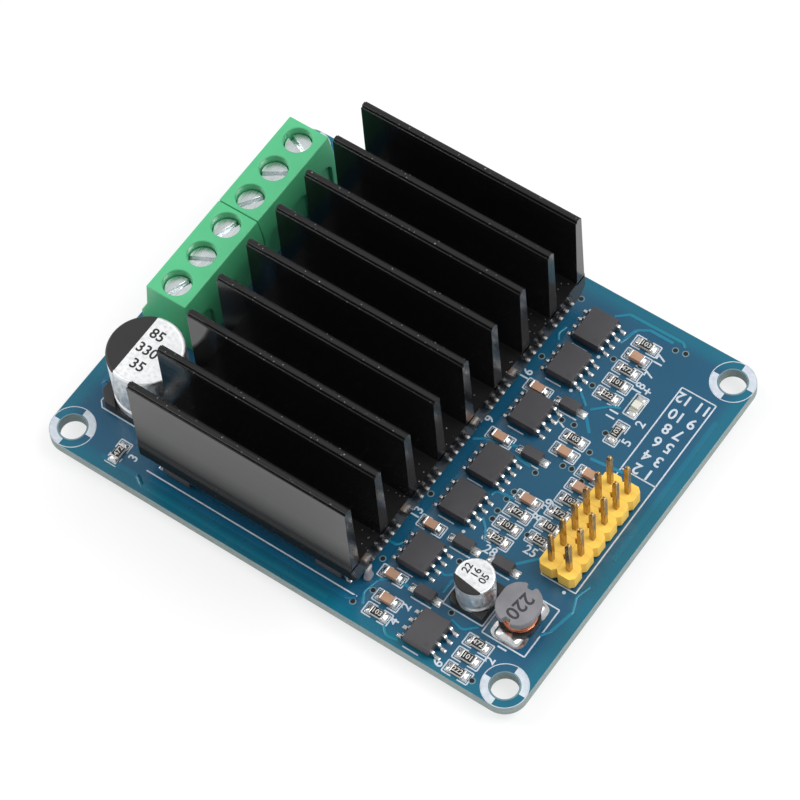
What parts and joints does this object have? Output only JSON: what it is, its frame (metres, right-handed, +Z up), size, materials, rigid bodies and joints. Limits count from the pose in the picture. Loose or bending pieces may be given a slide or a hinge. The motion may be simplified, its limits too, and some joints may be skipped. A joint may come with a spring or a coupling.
{
  "type": "dc motor driver module",
  "caption": "Circuit board with screw terminals, a finned heatsink over its power transistors, gate drivers, small parts and a pin header; drives brushed direct-current motors.",
  "frame": {"origin": "under the middle of the circuit board, level with the tips of the leads that stick out below it", "axes": "+X from the screw terminals to the pin header, +Y along the row of terminals towards the board side with more bare space by the header, +Z up, out of the board's component side"},
  "size_m": [0.071, 0.056, 0.0225],
  "materials": {
    "board": "blue solder mask over glass-fibre laminate",
    "heatsink": "black anodised extrusion",
    "adhesive": "cured grey thermal silicone",
    "package": "moulded epoxy with tinned leads",
    "resistor": "glazed ceramic with tinned end caps",
    "ceramic": "fired ceramic with tinned end caps",
    "lamp": "clear moulded lens on a laminate carrier",
    "terminal": "moulded green polyamide",
    "screw": "zinc-plated steel",
    "clamp": "plated steel",
    "contact": "tin-plated brass",
    "insulator": "moulded yellow polyester",
    "pin": "gold-flashed brass",
    "can": "drawn can with a printed black sector",
    "base": "moulded black resin",
    "ferrite": "ground ferrite",
    "copper": "enamelled copper wire"
  },
  "bodies": {
    "module": {"circuit_board": "board", "heatsink": "heatsink", "thermal_adhesive": "adhesive", "rear_transistors": "package", "voltage_converter": "package", "chip_resistors": "resistor", "chip_capacitors": "ceramic", "status_lamp": "lamp", "terminal_block_1": "terminal", "terminal_block_2": "terminal", "header_insulator": "insulator", "header_pins": "pin", "bulk_capacitor_base": "base", "bulk_capacitor_can": "can", "small_capacitor_base": "base", "small_capacitor_can": "can", "inductor_core": "ferrite", "inductor_winding": "copper", "front_transistor_1": "package", "front_transistor_2": "package", "front_transistor_3": "package", "front_transistor_4": "package", "front_transistor_5": "package", "front_transistor_6": "package", "front_transistor_7": "package", "front_transistor_8": "package", "gate_driver_1": "package", "gate_driver_2": "package", "gate_driver_3": "package", "gate_driver_4": "package", "gate_driver_5": "package", "gate_driver_6": "package", "diode_1": "package", "diode_2": "package", "diode_3": "package", "diode_4": "package", "diode_5": "package", "terminal_contact_1": "contact", "terminal_contact_2": "contact", "terminal_contact_3": "contact", "terminal_contact_4": "contact", "terminal_contact_5": "contact", "terminal_contact_6": "contact"},
    "screw_1": {"terminal_screw_1": "screw"},
    "clamp_1": {"wire_clamp_1": "clamp"},
    "screw_2": {"terminal_screw_2": "screw"},
    "clamp_2": {"wire_clamp_2": "clamp"},
    "screw_3": {"terminal_screw_3": "screw"},
    "clamp_3": {"wire_clamp_3": "clamp"},
    "screw_4": {"terminal_screw_4": "screw"},
    "clamp_4": {"wire_clamp_4": "clamp"},
    "screw_5": {"terminal_screw_5": "screw"},
    "clamp_5": {"wire_clamp_5": "clamp"},
    "screw_6": {"terminal_screw_6": "screw"},
    "clamp_6": {"wire_clamp_6": "clamp"}
  },
  "joints": [
    {"name": "screw_1_turn", "type": "hinge", "parent": "module", "child": "screw_1", "pos_m": [-0.02942, -0.00546, 0.0119], "axis": [0, 0, -1], "range_deg": [0, 1440]},
    {"name": "clamp_1_rise", "type": "slide", "parent": "module", "child": "clamp_1", "axis": [0, 0, 1], "range_m": [0, 0.0018]},
    {"name": "screw_2_turn", "type": "hinge", "parent": "module", "child": "screw_2", "pos_m": [-0.02942, -0.00038, 0.0119], "axis": [0, 0, -1], "range_deg": [0, 1440]},
    {"name": "clamp_2_rise", "type": "slide", "parent": "module", "child": "clamp_2", "axis": [0, 0, 1], "range_m": [0, 0.0018]},
    {"name": "screw_3_turn", "type": "hinge", "parent": "module", "child": "screw_3", "pos_m": [-0.02942, 0.0047, 0.0119], "axis": [0, 0, -1], "range_deg": [0, 1440]},
    {"name": "clamp_3_rise", "type": "slide", "parent": "module", "child": "clamp_3", "axis": [0, 0, 1], "range_m": [0, 0.0018]},
    {"name": "screw_4_turn", "type": "hinge", "parent": "module", "child": "screw_4", "pos_m": [-0.02942, 0.00978, 0.0119], "axis": [0, 0, -1], "range_deg": [0, 1440]},
    {"name": "clamp_4_rise", "type": "slide", "parent": "module", "child": "clamp_4", "axis": [0, 0, 1], "range_m": [0, 0.0018]},
    {"name": "screw_5_turn", "type": "hinge", "parent": "module", "child": "screw_5", "pos_m": [-0.02942, 0.01486, 0.0119], "axis": [0, 0, -1], "range_deg": [0, 1440]},
    {"name": "clamp_5_rise", "type": "slide", "parent": "module", "child": "clamp_5", "axis": [0, 0, 1], "range_m": [0, 0.0018]},
    {"name": "screw_6_turn", "type": "hinge", "parent": "module", "child": "screw_6", "pos_m": [-0.02942, 0.01994, 0.0119], "axis": [0, 0, -1], "range_deg": [0, 1440]},
    {"name": "clamp_6_rise", "type": "slide", "parent": "module", "child": "clamp_6", "axis": [0, 0, 1], "range_m": [0, 0.0018]}
  ],
  "couplings": [
    {"joint": "screw_1_turn", "follows": "clamp_1_rise", "rad_per_m": 13963},
    {"joint": "screw_2_turn", "follows": "clamp_2_rise", "rad_per_m": 13963},
    {"joint": "screw_3_turn", "follows": "clamp_3_rise", "rad_per_m": 13963},
    {"joint": "screw_4_turn", "follows": "clamp_4_rise", "rad_per_m": 13963},
    {"joint": "screw_5_turn", "follows": "clamp_5_rise", "rad_per_m": 13963},
    {"joint": "screw_6_turn", "follows": "clamp_6_rise", "rad_per_m": 13963}
  ]
}
